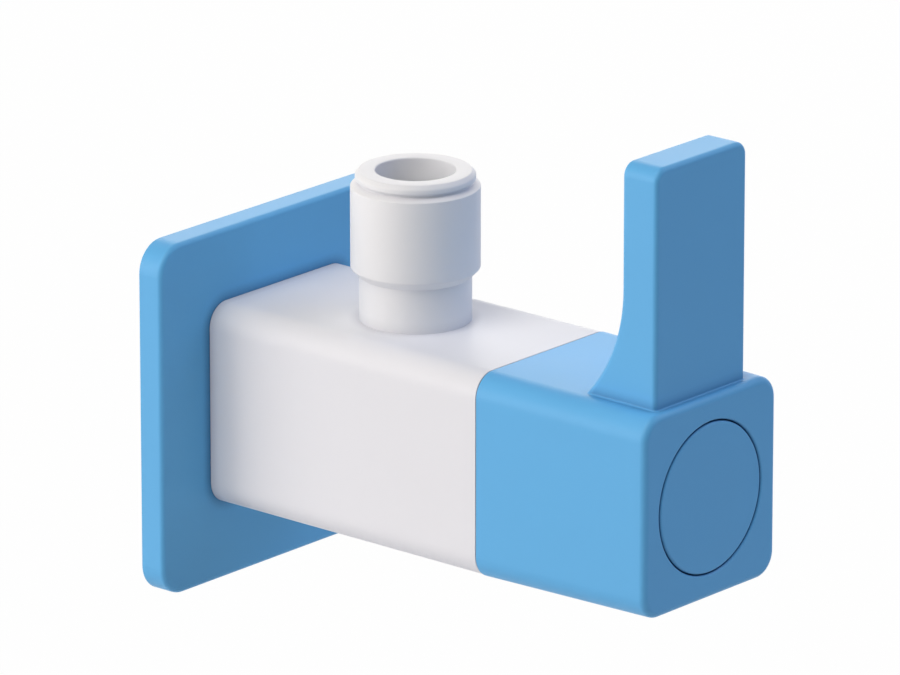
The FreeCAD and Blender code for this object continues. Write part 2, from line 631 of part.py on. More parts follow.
def make_spindle_clip():
    """Spring clip that keeps the spindle from dropping back into the cartridge."""
    start = NECK_END + FACE_GAP
    clip = tube(CLIP_RADIUS, CLIP_GROOVE_RADIUS + RUNNING_FIT, start, start + CLIP_THICKNESS)
    return clip.cut(sector(CLIP_RADIUS + CUT_MARGIN, start, start + CLIP_THICKNESS, 270, CLIP_OPENING))


def handle_section(along, inset):
    """The handle block's outline at one distance from the wall, inset by a wall."""
    share = (along - HANDLE_BACK) / HANDLE_LENGTH
    width = HANDLE_BACK_WIDTH + share * (HANDLE_FRONT_WIDTH - HANDLE_BACK_WIDTH)
    height = HANDLE_BACK_HEIGHT + share * (HANDLE_FRONT_HEIGHT - HANDLE_BACK_HEIGHT)
    radius = HANDLE_INNER_CORNER_RADIUS if inset else HANDLE_CORNER_RADIUS
    return rounded_rectangle(width - 2 * inset, height - 2 * inset, radius, along)


def spans_lever(edge):
    """Whether an edge runs straight across the lever below its top."""
    return edge.BoundBox.XLength > LEVER_WIDTH - 1e-3 and edge.BoundBox.YMin < LEVER_TOP_HEIGHT - 1e-3


def make_lever():
    """Flat lever that flares back onto the block in one hollow curve."""
    foot = HANDLE_FRONT_HEIGHT / 2
    front = HANDLE_FRONT - LEVER_SETBACK
    back = front - LEVER_THICKNESS
    centre_along = back - LEVER_FLARE_RADIUS
    flare_top = foot + LEVER_FLARE_HEIGHT
    half_height = LEVER_FLARE_HEIGHT / 2
    drop_middle = math.sqrt(LEVER_FLARE_RADIUS ** 2 - half_height ** 2)
    drop_end = math.sqrt(LEVER_FLARE_RADIUS ** 2 - LEVER_FLARE_HEIGHT ** 2)
    x = LEVER_SIDE_SHIFT - LEVER_WIDTH / 2
    flare_start = V(x, flare_top, back)
    flare_middle = V(x, flare_top - half_height, centre_along + drop_middle)
    flare_end = V(x, foot, centre_along + drop_end)
    corners = [
        flare_end,
        V(x, foot - LEVER_ROOT, centre_along + drop_end),
        V(x, foot - LEVER_ROOT, front),
        V(x, LEVER_TOP_HEIGHT, front),
        V(x, LEVER_TOP_HEIGHT, back),
        flare_start,
    ]
    edges = [Part.Arc(flare_start, flare_middle, flare_end).toShape()]
    edges += [Part.LineSegment(a, b).toShape() for a, b in zip(corners, corners[1:])]
    lever = Part.Face(Part.Wire(edges)).extrude(V(LEVER_WIDTH, 0, 0))
    top_sides = [edge for edge in lever.Edges
                 if abs(edge.BoundBox.YMin - LEVER_TOP_HEIGHT) < 1e-4 and edge.BoundBox.XLength < 1e-4]
    lever = lever.makeFillet(LEVER_CORNER_RADIUS, top_sides)
    wide_faces = [face for face in lever.Faces if face.BoundBox.XLength > LEVER_WIDTH / 2
                  and face.BoundBox.YLength > LEVER_THICKNESS]
    rims = [edge for face in wide_faces for edge in face.Edges
            if edge.BoundBox.YMax > foot + LEVER_EDGE_RADIUS and not spans_lever(edge)]
    return lever.makeFillet(LEVER_EDGE_RADIUS, rims)


def foot_edges(shape):
    """The edges where the lever stands on the block."""
    left = LEVER_SIDE_SHIFT - LEVER_WIDTH / 2
    return [edge for edge in shape.Edges
            if edge.BoundBox.YMin > HANDLE_FRONT_HEIGHT / 2 - 1e-3
            and edge.BoundBox.YMax < HANDLE_BACK_HEIGHT / 2 + 1e-3
            and edge.BoundBox.XMin > left - 1e-3 and edge.BoundBox.XMax < left + LEVER_WIDTH + 1e-3
            and edge.BoundBox.ZMax < HANDLE_FRONT - LEVER_SETBACK + 1e-3]


def make_handle():
    """Handle: hollow block with a cup for the cap, a hub for the insert, ribs, and a cored lever."""
    block = Part.makeLoft([handle_section(HANDLE_BACK, 0), handle_section(HANDLE_FRONT, 0)], True, True)
    block = block.makeFillet(HANDLE_FRONT_EDGE_RADIUS, flat_edges(block, HANDLE_FRONT))
    block = block.makeFillet(HANDLE_BACK_EDGE_RADIUS, flat_edges(block, HANDLE_BACK))
    outside = block.fuse(make_lever())
    outside = outside.makeFillet(LEVER_FOOT_ROUNDING, foot_edges(outside))
    hollow_front = HANDLE_FRONT - HANDLE_FRONT_WALL
    hollow_ends = [handle_section(along, HANDLE_WALL) for along in (HANDLE_BACK, hollow_front)]
    hollow = Part.makeLoft(hollow_ends, True, True)
    cup_back = SNAP_POCKET_FLOOR - CUP_FLOOR
    hub_radius = INSERT_ACROSS_FLATS / 2 / math.cos(math.radians(30)) + HUB_WALL
    hollow = hollow.cut(disc(SNAP_POCKET_RADIUS + CUP_WALL, cup_back, HANDLE_FRONT))
    hollow = hollow.cut(disc(hub_radius, HUB_BACK, HANDLE_FRONT))
    rib_start = HUB_BACK + HANDLE_RIB_SETBACK
    for turn in (0, 90):
        rib = Part.makeBox(2 * HANDLE_BACK_HEIGHT, HANDLE_RIB_WIDTH, HANDLE_FRONT - rib_start,
                           V(-HANDLE_BACK_HEIGHT, -HANDLE_RIB_WIDTH / 2, rib_start))
        rib.rotate(V(0, 0, 0), V(0, 0, 1), turn)
        hollow = hollow.cut(rib)
    snap_groove = disc(SNAP_POCKET_RADIUS + SNAP_BARB, CAP_SEAT - SNAP_LEG_LENGTH,
                       CAP_SEAT - SNAP_LEG_LENGTH + SNAP_BARB_HEIGHT + LOOSE_FIT)
    lever_front = HANDLE_FRONT - LEVER_SETBACK
    core_top = LEVER_TOP_HEIGHT - LEVER_CORNER_RADIUS - LEVER_CORE_WALL
    core_bottom = HANDLE_FRONT_HEIGHT / 2 - LEVER_CORE_ROOT
    core = Part.makeBox(LEVER_WIDTH - 2 * LEVER_CORE_SIDE_WALL, core_top - core_bottom,
                        LEVER_THICKNESS - 2 * LEVER_CORE_WALL,
                        V(LEVER_SIDE_SHIFT - LEVER_WIDTH / 2 + LEVER_CORE_SIDE_WALL, core_bottom,
                          lever_front - LEVER_THICKNESS + LEVER_CORE_WALL))
    recess_radius = CAP_RADIUS + CAP_GAP
    handle = outside.cut([
        hollow,
        core,
        disc(recess_radius, CAP_SEAT, HANDLE_FRONT),
        disc(SNAP_POCKET_RADIUS, SNAP_POCKET_FLOOR, CAP_SEAT),
        snap_groove,
        disc(SCREW_POCKET_RADIUS, SCREW_SEAT, SNAP_POCKET_FLOOR),
        disc(SCREW_RADIUS + LOOSE_FIT, WEB_BACK, SCREW_SEAT),
        hexagon(INSERT_ACROSS_FLATS + 2 * RUNNING_FIT, HUB_BACK, WEB_BACK),
    ])
    return handle.makeFillet(CAP_RECESS_ROUNDING, circles(handle, recess_radius, HANDLE_FRONT))


def make_handle_cap():
    """Round index cap, flush with the handle's front, held by four snap legs."""
    plate = disc(CAP_RADIUS, CAP_SEAT, HANDLE_FRONT)
    plate = plate.makeFillet(CAP_EDGE_RADIUS, circles(plate, CAP_RADIUS, HANDLE_FRONT))
    outer = SNAP_POCKET_RADIUS - SLIDING_FIT
    inner = outer - SNAP_LEG_WALL
    end = CAP_SEAT - SNAP_LEG_LENGTH + SLIDING_FIT
    barb = outer + SNAP_BARB - SLIDING_FIT
    barb_top = end + SNAP_BARB_HEIGHT
    collar = turned([
        (inner, CAP_SEAT),
        (inner, end),
        (outer - SNAP_BARB, end),
        (barb, end + SNAP_BARB_HEIGHT / 2),
        (barb, barb_top - SNAP_BARB / 2),
        (outer, barb_top),
        (outer, CAP_SEAT),
    ])
    legs = [collar.common(sector(barb + 1, end, CAP_SEAT, 45 + 360 / SNAP_LEGS * leg, SNAP_LEG_SPAN))
            for leg in range(SNAP_LEGS)]
    return plate.fuse(legs).removeSplitter()


def make_handle_screw():
    """Cross-slotted screw that holds the handle on the spindle."""
    head_start = SCREW_SEAT + WASHER_THICKNESS
    head_end = head_start + SCREW_HEAD_HEIGHT
    head = disc(SCREW_HEAD_RADIUS, head_start, head_end)
    head = head.makeFillet(SCREW_HEAD_ROUNDING, circles(head, SCREW_HEAD_RADIUS, head_end))
    screw = head.fuse(disc(SCREW_RADIUS, head_start - SCREW_LENGTH, head_start))
    slots = []
    for turn in (0, 90):
        slot = Part.makeBox(SCREW_SLOT_LENGTH, SCREW_SLOT_WIDTH, SCREW_SLOT_DEPTH,
                            V(-SCREW_SLOT_LENGTH / 2, -SCREW_SLOT_WIDTH / 2, head_end - SCREW_SLOT_DEPTH))
        slot.rotate(V(0, 0, 0), V(0, 0, 1), turn)
        slots.append(slot)
    return screw.cut(slots)


def make_screw_washer():
    """Washer under the handle screw's head."""
    return tube(WASHER_RADIUS, SCREW_RADIUS + LOOSE_FIT, SCREW_SEAT, SCREW_SEAT + WASHER_THICKNESS)


def make_spline_insert():
    """Six-sided insert in the handle's hub, with the spline's teeth inside."""
    insert = hexagon(INSERT_ACROSS_FLATS, HUB_BACK, WEB_BACK)
    return insert.cut(spline_bar(SPLINE_TIP_RADIUS + RUNNING_FIT, SPLINE_ROOT_RADIUS + RUNNING_FIT,
                                 HUB_BACK, WEB_BACK))


PIECES = {
    "wall_flange": make_wall_flange,
    "flange_grip_ring": make_flange_grip_ring,
    "valve_body": make_valve_body,
    "inlet_nipple": make_inlet_nipple,
    "inlet_o_ring": make_inlet_o_ring,
    "inlet_strainer": make_inlet_strainer,
    "outlet_nipple": make_outlet_nipple,
    "outlet_o_ring": make_outlet_o_ring,
    "seat_gasket": make_seat_gasket,
    "fixed_disc": make_fixed_disc,
    "moving_disc": make_moving_disc,
    "cartridge_housing": make_cartridge_housing,
    "cartridge_o_ring": make_cartridge_o_ring,
    "spindle": make_spindle,
    "spindle_o_rings": make_spindle_o_rings,
    "thrust_washer": make_thrust_washer,
    "spindle_clip": make_spindle_clip,
    "handle": make_handle,
    "handle_cap": make_handle_cap,
    "handle_screw": make_handle_screw,
    "screw_washer": make_screw_washer,
    "spline_insert": make_spline_insert,
}


def main():
    """Make every piece, turn it into the row frame and write it."""
    os.makedirs("parts", exist_ok=True)
    for name, make_piece in PIECES.items():
        piece = make_piece()
        piece.rotate(V(0, 0, 0), V(1, 0, 0), 90)
        piece.exportStep("parts/" + name + ".step")
        print(name, "solids", len(piece.Solids), "volume", round(piece.Volume, 1), "valid", piece.isValid())


main()
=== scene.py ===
# %% [markdown]
# # A square angle cock in blue and white plastic
#
# An angle cock is the small valve between a wall pipe and a basin's hose. This one is plastic: a blue cover
# plate at the wall, a white square body, a round outlet on top and a blue handle that turns a quarter turn.
# The valve has already been drawn as solids at real size, piece by piece. This lesson gives it its looks:
# it stages the photograph's view, makes the finishes out of shader nodes, and models anew the pieces whose
# surface says more than a plain turned solid can.
#
# We start by loading the packed model. It is a fixed frame: we may dress it, but never move or resize it.
# The dressed valve has to fill the same space. Blender counts in metres, so a size in millimetres is
# written times MM.

# %% Load the packed valve
import bmesh
import bpy
import json
import math
from mathutils import Matrix, Vector


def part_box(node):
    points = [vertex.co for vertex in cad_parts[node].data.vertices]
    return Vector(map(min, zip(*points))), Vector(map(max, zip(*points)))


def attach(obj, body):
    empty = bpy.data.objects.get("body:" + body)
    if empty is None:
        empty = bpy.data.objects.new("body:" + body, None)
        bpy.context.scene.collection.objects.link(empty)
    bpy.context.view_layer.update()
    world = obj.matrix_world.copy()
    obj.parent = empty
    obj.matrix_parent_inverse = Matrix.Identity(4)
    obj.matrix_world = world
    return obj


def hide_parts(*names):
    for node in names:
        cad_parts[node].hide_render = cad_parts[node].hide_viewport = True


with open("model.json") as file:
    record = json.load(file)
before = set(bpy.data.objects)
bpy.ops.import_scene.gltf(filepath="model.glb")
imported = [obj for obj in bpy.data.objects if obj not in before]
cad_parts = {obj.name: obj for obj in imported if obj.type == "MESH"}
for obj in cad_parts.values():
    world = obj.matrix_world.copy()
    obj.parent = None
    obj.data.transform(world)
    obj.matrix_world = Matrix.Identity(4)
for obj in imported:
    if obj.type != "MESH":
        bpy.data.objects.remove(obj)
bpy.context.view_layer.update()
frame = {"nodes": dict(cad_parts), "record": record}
MM = 0.001

# %% [markdown]
# ## The camera
#
# The photograph is taken from the front left and a little above, with a long lens: the valve's parallel edges
# hardly run together. We could place a camera by hand and nudge it, but its place can be worked out: the
# straight edges of the square parts fix the direction, and how little they converge fixes the distance.
# So the camera is written as a direction, a distance and a point to look at, which are easy to change.

# %% Set up the photograph's view
VIEW_AZIMUTH = -49.3
VIEW_ELEVATION = 17.74
VIEW_DISTANCE = 1.5
VIEW_CENTRE = Vector((-7.81, -48.0, 18.47)) * MM
IMAGE_WIDTH = 900
FOCAL_PIXELS = 9432.7


def direction(azimuth, elevation):
    """The unit vector from the valve towards a viewer or a lamp, in degrees: 0 is the front, 90 the right."""
    around, up = math.radians(azimuth), math.radians(elevation)
    return Vector((math.sin(around) * math.cos(up), -math.cos(around) * math.cos(up), math.sin(up)))


def aim(obj, place, target):
    """Put a camera or a lamp at a place and turn it to face the target."""
    obj.location = place
    obj.rotation_euler = (target - place).to_track_quat("-Z", "Y").to_euler()
    bpy.context.scene.collection.objects.link(obj)


lens = bpy.data.cameras.new("camera")
lens.sensor_width = 36.0
lens.lens = lens.sensor_width * FOCAL_PIXELS / IMAGE_WIDTH
lens.clip_start = 0.1
lens.clip_end = 20.0
camera = bpy.data.objects.new("camera", lens)
aim(camera, VIEW_CENTRE + direction(VIEW_AZIMUTH, VIEW_ELEVATION) * VIEW_DISTANCE, VIEW_CENTRE)
bpy.context.scene.camera = camera
bpy.context.scene.view_settings.view_transform = "Standard"
print("lens in millimetres", round(lens.lens, 1))

# %% [markdown]
# ## Shader maths that reads like maths
#
# A finish is a network of nodes, and a network is slow to read when every sum takes four lines. The class
# `Number` wraps a socket that carries a number and gives it the usual signs, so `1 - mask * 0.2` adds the
# Math nodes by itself.

# %% A socket that can be summed
class Number:
    """An output socket. Sums on one that carries a number add Math nodes to its network."""

    def __init__(self, network, socket):
        self.network = network
        self.socket = socket

    def combine(self, operation, first, second):
        return self.network.node("ShaderNodeMath", {"operation": operation}, {0: first, 1: second})

    def __add__(self, other):
        return self.combine("ADD", self, other)

    def __sub__(self, other):
        return self.combine("SUBTRACT", self, other)

    def __rsub__(self, other):
        return self.combine("SUBTRACT", other, self)

    def __mul__(self, other):
        return self.combine("MULTIPLY", self, other)

    def __pow__(self, other):
        return self.combine("POWER", self, other)

    __radd__ = __add__
    __rmul__ = __mul__


print("signs that a number socket knows: + - * **")

# %% [markdown]
# `Network.node` adds any other node: its kind, its settings, then what feeds its inputs, and which of its
# outputs we want. Three short methods on top of it say what a finish needs most: a cloudy noise, a colour
# between two colours, and a bump.

# %% A network that adds any node
class Network:
    """The emptied node network of a material or a world, and the methods that fill it."""

    def __init__(self, owner):
        owner.use_nodes = True
        self.owner = owner
        self.tree = owner.node_tree
        self.tree.nodes.clear()

    def node(self, kind, settings=None, inputs=None, output=0):
        """Add a node, set it up, feed its inputs with values or outputs, and give back one output."""
        made = self.tree.nodes.new(kind)
        for name, value in (settings or {}).items():
            setattr(made, name, value)
        for name, value in (inputs or {}).items():
            if isinstance(value, Number):
                self.tree.links.new(value.socket, made.inputs[name])
            else:
                made.inputs[name].default_value = value
        return Number(self, made.outputs[output]) if made.outputs else None

    def noise(self, place, size, detail=2.0):
        """Cloudy noise from 0 to 1, with blotches about `size` metres across."""
        return self.node("ShaderNodeTexNoise", {}, {"Vector": place, "Scale": 1 / size, "Detail": detail})

    def blend(self, share, first, second):
        """A colour between two colours. A Mix node keeps its colours in inputs 6 and 7 and output 2."""
        return self.node("ShaderNodeMix", {"data_type": "RGBA"}, {0: share, 6: first, 7: second}, output=2)

    def bump(self, height, depth):
        """A normal for a surface that stands `depth` metres higher where height is 1."""
        return self.node("ShaderNodeBump", {}, {"Height": height, "Distance": depth})


print("network methods", [name for name in vars(Network) if not name.startswith("_")])

# %% [markdown]
# ## A pale floor
#
# The photograph has the valve on plain white. More light would bleach the valve too, so the white comes from
# what the rays see instead. A ray that looks at the floor, straight from the camera or by way of a glossy or
# clear surface, meets plain white. A ray that gathers light meets a calmer grey. The floor stays partly a
# real matt surface, so it still takes a faint shadow, and it is clear from below.

# %% Lay the floor
FLOOR_HEIGHT = -250 * MM
FLOOR_SIZE = 8.0
FLOOR_GLOW = 0.98
FLOOR_GREY = (0.8, 0.8, 0.8, 1.0)
WHITE = (1.0, 1.0, 1.0, 1.0)
LOOKING_RAYS = ("Is Camera Ray", "Is Glossy Ray", "Is Transmission Ray")


def looked_at(network):
    """One where a ray comes from the camera, a reflection or a clear surface, and 0 for other light."""
    camera_ray, glossy_ray, clear_ray = [
        network.node("ShaderNodeLightPath", output=kind) for kind in LOOKING_RAYS]
    return camera_ray + glossy_ray + clear_ray


def lay_floor():
    """A large plane below the valve, seen as nearly white and lit as pale grey."""
    mesh = bpy.data.meshes.new("floor")
    sheet = bmesh.new()
    bmesh.ops.create_grid(sheet, x_segments=1, y_segments=1, size=FLOOR_SIZE / 2,
                          matrix=Matrix.Translation((0, 0, FLOOR_HEIGHT)))
    sheet.to_mesh(mesh)
    sheet.free()
    network = Network(bpy.data.materials.new("pale_floor"))
    matt = network.node("ShaderNodeBsdfDiffuse", {}, {"Color": FLOOR_GREY})
    glow = network.node("ShaderNodeEmission", {}, {"Color": WHITE, "Strength": 1.0})
    top = network.node("ShaderNodeMixShader", {}, {0: looked_at(network) * FLOOR_GLOW, 1: matt, 2: glow})
    below = network.node("ShaderNodeNewGeometry", output="Backfacing")
    clear = network.node("ShaderNodeBsdfTransparent")
    both = network.node("ShaderNodeMixShader", {}, {0: below, 1: top, 2: clear})
    network.node("ShaderNodeOutputMaterial", {}, {"Surface": both})
    mesh.materials.append(network.owner)
    floor = bpy.data.objects.new("floor", mesh)
    bpy.context.scene.collection.objects.link(floor)


lay_floor()
print("floor at", FLOOR_HEIGHT)

# %% [markdown]
# ## A white room
#
# The world follows the same rule. What the camera and the reflections see of it is plain white, and what
# lights the valve is weak and cool, so the shaded faces keep a touch of blue as they do in daylight.

# %% Fill the room
ROOM_LIGHT = 0.07
COOL = (0.92, 1.0, 1.29)


def fill_room():
    """A world that looks white, and fills the valve's shadows softly with cool light from all round."""
    network = Network(bpy.data.worlds.new("white_room"))
    seen = network.node("ShaderNodeBackground", {}, {"Color": WHITE, "Strength": 1.0})
    fill = network.node("ShaderNodeBackground", {}, {"Color": (*COOL, 1.0), "Strength": ROOM_LIGHT})
    both = network.node("ShaderNodeMixShader", {}, {0: looked_at(network), 1: fill, 2: seen})
    network.node("ShaderNodeOutputWorld", {}, {"Surface": both})
    bpy.context.scene.world = network.owner


fill_room()
print("room light", ROOM_LIGHT)

# %% [markdown]
# ## Soft lamps
#
# The left faces and the tops are bright, the front is in calm shade, and the round outlet darkens towards the
# front and lifts again at its right edge. So the light comes from behind and from the left: a low lamp at the
# back left, two at the left, and one at the back right that glances over the tops. A weak cool lamp at the
# front right keeps the shade open. Each lamp is a square sheet of light. It is written as the two angles of
# where it stands, how much it would give a white face that looks straight at it, and its tint. The watts
# follow from that.

# %% Place the lamps
WARM = (1.05, 1.0, 0.96)
WARMER = (1.06, 1.0, 0.89)
LAMPS = {
    "key_lamp": (-135, 3, 0.58, WARM),
    "side_lamp": (-95, 35, 0.31, WARM),
    "high_lamp": (-90, 65, 0.41, WARMER),
    "back_lamp": (122, 18, 0.33, WARMER),
    "fill_lamp": (50, 35, 0.28, COOL),
}
LAMP_DISTANCE = 1.6
LAMP_SIZE = 1.2


def hang_lamp(name, azimuth, elevation, light, tint):
    """A square lamp that gives `light` times white to a white face turned to it."""
    lamp = bpy.data.lights.new(name, "AREA")
    lamp.size = LAMP_SIZE
    lamp.energy = light * math.pi ** 2 * LAMP_DISTANCE ** 2
    lamp.color = tint
    place = VIEW_CENTRE + direction(azimuth, elevation) * LAMP_DISTANCE
    aim(bpy.data.objects.new(name, lamp), place, VIEW_CENTRE)


for lamp_name, lamp_values in LAMPS.items():
    hang_lamp(lamp_name, *lamp_values)
print("lamps", list(LAMPS))

# %% [markdown]
# ## Moulded plastic
#
# All the outer pieces are moulded in satin plastic. Its colour is nearly even: close up there is a slow drift
# in tone where the melt flowed, and the mould's spark-eroded steel leaves a fine grain that breaks up the
# gloss. An image texture could carry this, but two noises do it at any size and on any face, with no seams.
# The drift changes the colour a little, both change the roughness, and the grain is also a very shallow bump.
#
# Where two pieces meet, the line between them looks deeper in colour than their faces, because light hardly
# gets in there. That shade is painted into the colour. It could be painted along every joint; the Ambient
# Occlusion node
# finds the places instead: it tells how open a point is to the air within a short reach, at whatever pose the
# valve has, and where a point is closed in, in a joint, crease or recess, the colour turns towards a darker
# shade colour.

# %% A recipe for plastic
GRAIN_SIZE = 0.35 * MM
GRAIN_GLOSS = 0.05
DRIFT_SIZE = 16 * MM
DRIFT_GLOSS = 0.06
PAINTED_SHADE_REACH = 2 * MM
PAINTED_SHADE_RAYS = 4
PLASTIC_IOR = 1.49


def shade(colour, factor=1.0):
    """A colour made lighter or darker, as a shader takes it."""
    return tuple(min(1.0, channel * factor) for channel in colour) + (1.0,)


def moulded_plastic(name, colour, painted_shade, roughness, shine, tone, depth):
    """Satin moulded plastic: a slow drift in tone, a fine grain in gloss and height, and painted shade in
    joints.
    """
    network = Network(bpy.data.materials.new(name))
    place = network.node("ShaderNodeTexCoord", output="Object")
    drift = network.noise(place, DRIFT_SIZE, detail=3.0)
    grain = network.noise(place, GRAIN_SIZE)
    clean = network.blend(drift, shade(colour, 1 - tone), shade(colour, 1 + tone))
    # Painted shade: where a point is closed in by a joint or crease, the colour turns towards the darker
    # shade colour.
    openness = network.node(
        "ShaderNodeAmbientOcclusion", {"samples": PAINTED_SHADE_RAYS}, {"Distance": PAINTED_SHADE_REACH}, output="AO")
    shader = network.node("ShaderNodeBsdfPrincipled", {}, {
        "Base Color": network.blend(openness, shade(painted_shade), clean),
        "Roughness": roughness + (drift - 0.5) * DRIFT_GLOSS + (grain - 0.5) * GRAIN_GLOSS,
        "Normal": network.bump(grain, depth),
        "IOR": PLASTIC_IOR,
        "Specular IOR Level": shine,
    })
    network.node("ShaderNodeOutputMaterial", {}, {"Surface": shader})
    return network.owner


print("grain in millimetres", GRAIN_SIZE / MM)

# %% [markdown]
# The handle and the plate share one blue. The body's white is a little cooler than the outlet's, and the
# hidden tail and strainer are plainer plastics. Each is one row of the same recipe: its colour, the darker
# colour of its painted shade in joints and creases, roughness, shine, drift in tone and depth of grain.

# %% Plastic finishes
BLUE = (0.118, 0.435, 0.79)
BODY_WHITE = (0.785, 0.795, 0.84)
OUTLET_WHITE = (0.82, 0.83, 0.855)
TAIL_WHITE = (0.78, 0.78, 0.79)
NATURAL = (0.70, 0.71, 0.68)
# The darker colours below are painted shade, blended in where light hardly reaches the joints and creases.
BLUE_PAINTED_SHADE = (0.004, 0.04, 0.17)
WHITE_PAINTED_SHADE = (0.5, 0.5, 0.56)
PALE_PAINTED_SHADE = (0.66, 0.66, 0.7)
FINE = 0.003 * MM
COARSE = 0.008 * MM
PLASTICS = {
    "blue_plastic": (BLUE, BLUE_PAINTED_SHADE, 0.45, 0.3, 0.02, FINE),
    "white_plastic": (BODY_WHITE, WHITE_PAINTED_SHADE, 0.45, 0.15, 0.012, FINE),
    "outlet_plastic": (OUTLET_WHITE, PALE_PAINTED_SHADE, 0.45, 0.18, 0.012, FINE),
    "tail_plastic": (TAIL_WHITE, WHITE_PAINTED_SHADE, 0.5, 0.3, 0.02, COARSE),
    "strainer_plastic": (NATURAL, WHITE_PAINTED_SHADE, 0.45, 0.4, 0.03, FINE),
}
finishes = {name: moulded_plastic(name, *look) for name, look in PLASTICS.items()}
print("plastics", list(finishes))

# %% [markdown]
# ## Rubber and ceramic
#
# The working parts sit inside and show when the valve is taken apart. The seals are dull black rubber with a
# dusty bloom. The two discs are lapped ceramic, almost a mirror, with a few faint specks. A noise raised to a
# power does both: the higher the power, the fewer and smaller its patches.

# %% Finishes of seals and discs
RUBBER = (0.022, 0.022, 0.024)
BLOOM = (0.055, 0.055, 0.058)
BLOOM_SIZE = 3 * MM
RUBBER_ROUGHNESS = 0.5
BLOOM_GLOSS = 0.3
PORE_SIZE = 0.2 * MM
PORE_DEPTH = 0.006 * MM
CERAMIC = (0.88, 0.87, 0.83)
SPECK = (0.62, 0.60, 0.56)
SPECK_SIZE = 0.5 * MM
CERAMIC_ROUGHNESS = 0.12
SPECK_GLOSS = 0.5


def rubber_seal(name):
    """Dull black rubber with a patchy grey bloom."""
    network = Network(bpy.data.materials.new(name))
    place = network.node("ShaderNodeTexCoord", output="Object")
    bloom = network.noise(place, BLOOM_SIZE, detail=5.0) ** 2
    pores = network.noise(place, PORE_SIZE)
    shader = network.node("ShaderNodeBsdfPrincipled", {}, {
        "Base Color": network.blend(bloom, shade(RUBBER), shade(BLOOM)),
        "Roughness": RUBBER_ROUGHNESS + bloom * BLOOM_GLOSS,
        "Normal": network.bump(pores, PORE_DEPTH),
    })
    network.node("ShaderNodeOutputMaterial", {}, {"Surface": shader})
    return network.owner


def lapped_ceramic(name):
    """Hard white ceramic, lapped flat, with faint specks."""
    network = Network(bpy.data.materials.new(name))
    place = network.node("ShaderNodeTexCoord", output="Object")
    specks = network.noise(place, SPECK_SIZE, detail=4.0) ** 6
    shader = network.node("ShaderNodeBsdfPrincipled", {}, {
        "Base Color": network.blend(specks, shade(CERAMIC), shade(SPECK)),
        "Roughness": CERAMIC_ROUGHNESS + specks * SPECK_GLOSS,
    })
    network.node("ShaderNodeOutputMaterial", {}, {"Surface": shader})
    return network.owner


finishes["black_rubber"] = rubber_seal("black_rubber")
finishes["disc_ceramic"] = lapped_ceramic("disc_ceramic")
print("finishes so far", len(finishes))

# %% [markdown]
# ## Turned metal
#
# The brass and steel parts are turned, so their tool marks are rings about the valve's axis. Rings could be
# drawn as a wave, but a lathe's marks are uneven. A noise that reads only how far a point is from the axis,
# and how far along it, gives uneven rings on every turned face with one rule.

# %% Finishes of brass and steel
BRASS = (0.72, 0.55, 0.28)
STEEL = (0.60, 0.60, 0.60)
BRASS_ROUGHNESS = 0.3
STEEL_ROUGHNESS = 0.32
TOOL_MARK = 0.12 * MM
MARK_DEPTH = 0.004 * MM
MARK_GLOSS = 0.2
STAIN_SIZE = 5 * MM
STAIN_GLOSS = 0.1
STAINED = 0.88
POLISHED = 1.06


def turned_metal(name, colour, roughness):
    """Metal turned about the valve's axis, which runs along Y: rings of tool marks in gloss and height."""
    network = Network(bpy.data.materials.new(name))
    place = network.node("ShaderNodeTexCoord", output="Object")
    across, along, up = [
        network.node("ShaderNodeSeparateXYZ", {}, {"Vector": place}, output=axis) for axis in "XYZ"]
    radius = (across ** 2 + up ** 2) ** 0.5
    ring_place = network.node("ShaderNodeCombineXYZ", {}, {"X": radius, "Y": along})
    rings = network.noise(ring_place, TOOL_MARK, detail=3.0)
    stain = network.noise(place, STAIN_SIZE, detail=4.0)
    shader = network.node("ShaderNodeBsdfPrincipled", {}, {
        "Base Color": network.blend(stain, shade(colour, STAINED), shade(colour, POLISHED)),
        "Metallic": 1.0,
        "Roughness": roughness + (rings - 0.5) * MARK_GLOSS + (stain - 0.5) * STAIN_GLOSS,
        "Normal": network.bump(rings, MARK_DEPTH),
    })
    network.node("ShaderNodeOutputMaterial", {}, {"Surface": shader})
    return network.owner


finishes["cartridge_brass"] = turned_metal("cartridge_brass", BRASS, BRASS_ROUGHNESS)
finishes["fastener_steel"] = turned_metal("fastener_steel", STEEL, STEEL_ROUGHNESS)
print("finishes", len(finishes))

# %% [markdown]
# ## Dress the solids whose shape is right
#
# The record names a finish for every piece. The plate, body, handle and cap keep their solids, because the
# fillets and the lever's flare are exact there, and a mesh drawn again could only come close. They get their
# material and nothing else.

# %% Dress the solids
for row in frame["record"]["subparts"]:
    solid = frame["nodes"][row["node"]]
    solid.data.materials.clear()
    solid.data.materials.append(finishes[row["material_slot"]])

# %% [markdown]
# ## Tools for turned pieces
#
# A turned piece is a profile swung round an axis. We draw half of its section with as few corners as it has
# on paper, round the corners that the mould rounds, and spin the line a full turn.

# %% Draw and turn a section
TURN_STEPS = 96
ROUND_SEGMENTS = 6


def draw_section(work, corners):
    """Draw a section in the XZ plane. A corner is (radius, height) or (radius, height, rounding)."""
    points = [work.verts.new((corner[0], 0, corner[1])) for corner in corners]
    for start, end in zip(points, points[1:] + points[:1]):
        work.edges.new((start, end))
    for point, corner in zip(points, corners):
        if len(corner) > 2:
            bmesh.ops.bevel(work, geom=[point], offset=corner[2], offset_type="OFFSET", affect="VERTICES",
                            segments=ROUND_SEGMENTS, profile=0.5, material=-1)


def turn_section(work):
    """Swing the drawn section a full turn round Z and close the seam."""
    bmesh.ops.spin(work, geom=work.verts[:] + work.edges[:], cent=(0, 0, 0), axis=(0, 0, 1),
                   angle=2 * math.pi, steps=TURN_STEPS, use_merge=True)


print("steps in a turn", TURN_STEPS)

